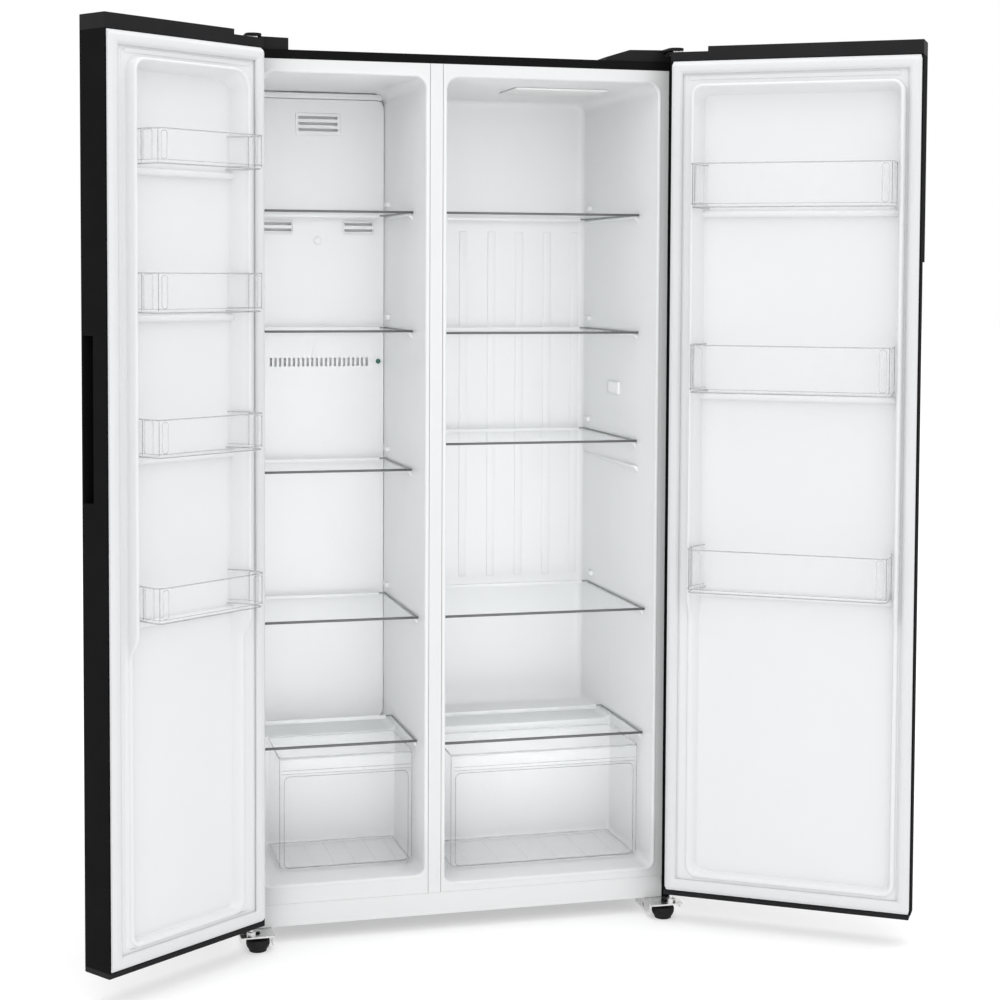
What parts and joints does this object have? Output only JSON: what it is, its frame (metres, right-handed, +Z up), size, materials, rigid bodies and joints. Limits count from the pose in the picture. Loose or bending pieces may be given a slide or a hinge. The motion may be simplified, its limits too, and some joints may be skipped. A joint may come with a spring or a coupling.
{
  "type": "side by side refrigerator",
  "caption": "Free-standing two-door refrigerator, freezer beside fridge, both doors open, with glass shelves, drawers, door bins and the cooling machinery inside.",
  "frame": {"origin": "on the floor, at the middle of the box that the object fills with both doors open", "axes": "+Z up, +X to the viewer's right, the doors face -Y"},
  "size_m": [1.6206, 0.9243, 1.779],
  "materials": {
    "black_steel": "satin",
    "black_plastic": "matte",
    "compressor_black": "satin",
    "white_painted": "satin",
    "white_plastic": "satin",
    "lamp_diffuser": "satin",
    "rigid_foam": "matte",
    "galvanised_steel": "satin",
    "zinc_plated": "satin",
    "copper_tube": "satin",
    "aluminium_fin": "satin",
    "clear_glass": "gloss",
    "clear_plastic": "gloss",
    "gasket_rubber": "matte"
  },
  "bodies": {
    "cabinet": {"outer_case": "black_steel", "front_frame": "white_painted", "kick_plate": "white_painted", "freezer_liner": "white_plastic", "fridge_liner": "white_plastic", "cabinet_foam": "rigid_foam", "back_panel": "galvanised_steel", "base_frame": "galvanised_steel", "fridge_lamp": "lamp_diffuser", "evaporator_cover": "white_plastic", "evaporator": "aluminium_fin", "evaporator_fan_motor": "galvanised_steel", "compressor": "compressor_black", "condenser_coil": "copper_tube", "condenser_fan_motor": "galvanised_steel", "drain_pan": "white_plastic", "machine_bay_cover": "galvanised_steel", "bottom_hinge_left": "zinc_plated", "bottom_hinge_right": "zinc_plated", "top_hinge_left": "zinc_plated", "top_hinge_right": "zinc_plated", "hinge_cover_left": "black_plastic", "hinge_cover_right": "black_plastic"},
    "freezer_door": {"freezer_door_shell": "black_steel", "freezer_door_top_cap": "black_plastic", "freezer_door_bottom_cap": "black_plastic", "freezer_door_liner": "white_plastic", "freezer_door_foam": "rigid_foam", "freezer_door_gasket": "gasket_rubber"},
    "fridge_door": {"fridge_door_shell": "black_steel", "fridge_door_top_cap": "black_plastic", "fridge_door_bottom_cap": "black_plastic", "fridge_door_liner": "white_plastic", "fridge_door_foam": "rigid_foam", "fridge_door_gasket": "gasket_rubber"},
    "freezer_door_bin_1": {"freezer_door_bin_1": "clear_plastic"},
    "freezer_door_bin_2": {"freezer_door_bin_2": "clear_plastic"},
    "freezer_door_bin_3": {"freezer_door_bin_3": "clear_plastic"},
    "freezer_door_bin_4": {"freezer_door_bin_4": "clear_plastic"},
    "fridge_door_bin_1": {"fridge_door_bin_1": "clear_plastic"},
    "fridge_door_bin_2": {"fridge_door_bin_2": "clear_plastic"},
    "fridge_door_bin_3": {"fridge_door_bin_3": "clear_plastic"},
    "freezer_shelf_1": {"freezer_shelf_1": "clear_glass"},
    "freezer_shelf_2": {"freezer_shelf_2": "clear_glass"},
    "freezer_shelf_3": {"freezer_shelf_3": "clear_glass"},
    "freezer_shelf_4": {"freezer_shelf_4": "clear_glass"},
    "freezer_shelf_5": {"freezer_shelf_5": "clear_glass"},
    "fridge_shelf_1": {"fridge_shelf_1": "clear_glass"},
    "fridge_shelf_2": {"fridge_shelf_2": "clear_glass"},
    "fridge_shelf_3": {"fridge_shelf_3": "clear_glass"},
    "fridge_shelf_4": {"fridge_shelf_4": "clear_glass"},
    "fridge_shelf_5": {"fridge_shelf_5": "clear_glass"},
    "freezer_drawer": {"freezer_drawer": "clear_plastic"},
    "crisper_drawer": {"crisper_drawer": "clear_plastic"},
    "evaporator_fan": {"evaporator_fan": "black_plastic"},
    "condenser_fan": {"condenser_fan": "black_plastic"},
    "rear_roller_left": {"rear_roller_left": "black_plastic"},
    "rear_roller_right": {"rear_roller_right": "black_plastic"},
    "front_foot_left": {"front_foot_left": "black_plastic"},
    "front_foot_right": {"front_foot_right": "black_plastic"}
  },
  "joints": [
    {"name": "freezer_door_hinge", "type": "hinge", "parent": "cabinet", "child": "freezer_door", "pos_m": [-0.4855, -0.142, 0.9], "axis": [0, 0, -1], "range_deg": [-144, 2]},
    {"name": "fridge_door_hinge", "type": "hinge", "parent": "cabinet", "child": "fridge_door", "pos_m": [0.3795, -0.142, 0.9], "axis": [0, 0, 1], "range_deg": [-147, 2]},
    {"name": "freezer_door_bin_1_lift", "type": "slide", "parent": "freezer_door", "child": "freezer_door_bin_1", "axis": [0, 0, 1], "range_m": [0, 0.04]},
    {"name": "freezer_door_bin_2_lift", "type": "slide", "parent": "freezer_door", "child": "freezer_door_bin_2", "axis": [0, 0, 1], "range_m": [0, 0.04]},
    {"name": "freezer_door_bin_3_lift", "type": "slide", "parent": "freezer_door", "child": "freezer_door_bin_3", "axis": [0, 0, 1], "range_m": [0, 0.04]},
    {"name": "freezer_door_bin_4_lift", "type": "slide", "parent": "freezer_door", "child": "freezer_door_bin_4", "axis": [0, 0, 1], "range_m": [0, 0.04]},
    {"name": "fridge_door_bin_1_lift", "type": "slide", "parent": "fridge_door", "child": "fridge_door_bin_1", "axis": [0, 0, 1], "range_m": [0, 0.04]},
    {"name": "fridge_door_bin_2_lift", "type": "slide", "parent": "fridge_door", "child": "fridge_door_bin_2", "axis": [0, 0, 1], "range_m": [0, 0.04]},
    {"name": "fridge_door_bin_3_lift", "type": "slide", "parent": "fridge_door", "child": "fridge_door_bin_3", "axis": [0, 0, 1], "range_m": [0, 0.04]},
    {"name": "freezer_shelf_1_slide", "type": "slide", "parent": "cabinet", "child": "freezer_shelf_1", "axis": [0, -1, 0], "range_m": [0, 0.17]},
    {"name": "freezer_shelf_2_slide", "type": "slide", "parent": "cabinet", "child": "freezer_shelf_2", "axis": [0, -1, 0], "range_m": [0, 0.17]},
    {"name": "freezer_shelf_3_slide", "type": "slide", "parent": "cabinet", "child": "freezer_shelf_3", "axis": [0, -1, 0], "range_m": [0, 0.17]},
    {"name": "freezer_shelf_4_slide", "type": "slide", "parent": "cabinet", "child": "freezer_shelf_4", "axis": [0, -1, 0], "range_m": [0, 0.17]},
    {"name": "freezer_shelf_5_slide", "type": "slide", "parent": "cabinet", "child": "freezer_shelf_5", "axis": [0, -1, 0], "range_m": [0, 0.17]},
    {"name": "fridge_shelf_1_slide", "type": "slide", "parent": "cabinet", "child": "fridge_shelf_1", "axis": [0, -1, 0], "range_m": [0, 0.17]},
    {"name": "fridge_shelf_2_slide", "type": "slide", "parent": "cabinet", "child": "fridge_shelf_2", "axis": [0, -1, 0], "range_m": [0, 0.17]},
    {"name": "fridge_shelf_3_slide", "type": "slide", "parent": "cabinet", "child": "fridge_shelf_3", "axis": [0, -1, 0], "range_m": [0, 0.17]},
    {"name": "fridge_shelf_4_slide", "type": "slide", "parent": "cabinet", "child": "fridge_shelf_4", "axis": [0, -1, 0], "range_m": [0, 0.17]},
    {"name": "fridge_shelf_5_slide", "type": "slide", "parent": "cabinet", "child": "fridge_shelf_5", "axis": [0, -1, 0], "range_m": [0, 0.17]},
    {"name": "freezer_drawer_slide", "type": "slide", "parent": "cabinet", "child": "freezer_drawer", "axis": [0, -1, 0], "range_m": [0, 0.17]},
    {"name": "crisper_drawer_slide", "type": "slide", "parent": "cabinet", "child": "crisper_drawer", "axis": [0, -1, 0], "range_m": [0, 0.18]},
    {"name": "evaporator_fan_spin", "type": "hinge", "parent": "cabinet", "child": "evaporator_fan", "pos_m": [-0.294, 0.31, 1.3], "axis": [0, 1, 0], "continuous": true},
    {"name": "condenser_fan_spin", "type": "hinge", "parent": "cabinet", "child": "condenser_fan", "pos_m": [-0.113, 0.342, 0.135], "axis": [1, 0, 0], "continuous": true},
    {"name": "rear_roller_left_roll", "type": "hinge", "parent": "cabinet", "child": "rear_roller_left", "pos_m": [-0.449, 0.401, 0.02], "axis": [1, 0, 0], "continuous": true},
    {"name": "rear_roller_right_roll", "type": "hinge", "parent": "cabinet", "child": "rear_roller_right", "pos_m": [0.343, 0.401, 0.02], "axis": [1, 0, 0], "continuous": true},
    {"name": "front_foot_left_turn", "type": "hinge", "parent": "cabinet", "child": "front_foot_left", "pos_m": [-0.471, -0.132, 0.02], "axis": [0, 0, 1], "continuous": true},
    {"name": "front_foot_right_turn", "type": "hinge", "parent": "cabinet", "child": "front_foot_right", "pos_m": [0.365, -0.132, 0.02], "axis": [0, 0, 1], "continuous": true}
  ]
}
